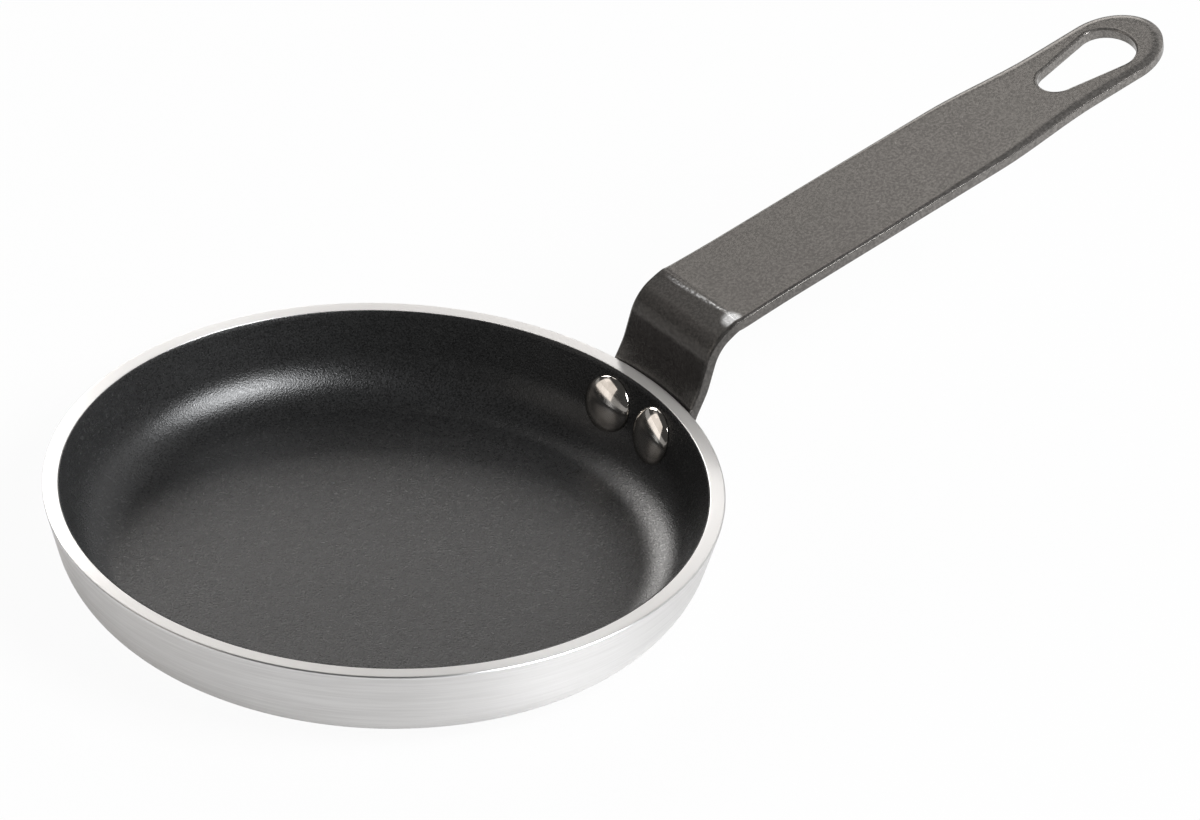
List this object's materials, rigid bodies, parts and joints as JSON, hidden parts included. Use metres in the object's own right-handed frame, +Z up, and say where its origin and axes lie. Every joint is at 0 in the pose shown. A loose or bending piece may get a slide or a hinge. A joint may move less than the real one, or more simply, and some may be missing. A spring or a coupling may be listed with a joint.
{
  "type": "blini pan",
  "caption": "Small shallow round frying pan with a non-stick lining, bare rim and a riveted bent-strip handle with a hanging eye.",
  "frame": {"origin": "centre of the flat underside, on the surface that the pan stands on", "axes": "+Z up along the pan's axis, +X out along the handle"},
  "size_m": [0.2335, 0.1196, 0.0559],
  "materials": {
    "brushed_aluminium": "brushed round the wall, turned rim and underside",
    "nonstick": "satin with a fine sparkle",
    "coated_steel": "dark hammered powder coat",
    "polished_rivet": "polished"
  },
  "bodies": {
    "root": {"pan_body": "brushed_aluminium", "nonstick_coating": "nonstick", "handle": "coated_steel", "rivet_left": "polished_rivet", "rivet_right": "polished_rivet"}
  },
  "joints": []
}
